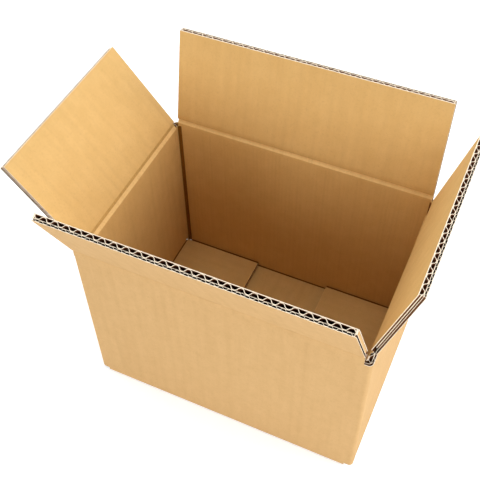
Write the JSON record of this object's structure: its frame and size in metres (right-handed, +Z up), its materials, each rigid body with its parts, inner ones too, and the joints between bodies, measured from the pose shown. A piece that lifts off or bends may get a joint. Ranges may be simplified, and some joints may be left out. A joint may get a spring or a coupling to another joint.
{
  "type": "open cardboard box",
  "caption": "Open rectangular carton of double-wall corrugated board with four hinged top flaps and a closed bottom.",
  "frame": {"origin": "centre of the underside, on the face that rests on a table", "axes": "+X along the long walls, +Y from the front wall to the back wall, +Z up"},
  "size_m": [0.2264, 0.1585, 0.1825],
  "materials": {
    "kraft_board": "matt brown kraft paper"
  },
  "bodies": {
    "box": {"box_body": "kraft_board"},
    "front_flap": {"front_flap": "kraft_board"},
    "back_flap": {"back_flap": "kraft_board"},
    "left_flap": {"left_flap": "kraft_board"},
    "right_flap": {"right_flap": "kraft_board"}
  },
  "joints": [
    {"name": "front_flap_fold", "type": "hinge", "parent": "box", "child": "front_flap", "pos_m": [0, -0.0608, 0.1225], "axis": [1, 0, 0], "range_deg": [-115.7, 154.3]},
    {"name": "back_flap_fold", "type": "hinge", "parent": "box", "child": "back_flap", "pos_m": [0, 0.0608, 0.1225], "axis": [-1, 0, 0], "range_deg": [-100.6, 169.4]},
    {"name": "left_flap_fold", "type": "hinge", "parent": "box", "child": "left_flap", "pos_m": [-0.08655, 0, 0.1183], "axis": [0, -1, 0], "range_deg": [-129, 141]},
    {"name": "right_flap_fold", "type": "hinge", "parent": "box", "child": "right_flap", "pos_m": [0.08655, 0, 0.1183], "axis": [0, 1, 0], "range_deg": [-105, 165]}
  ]
}
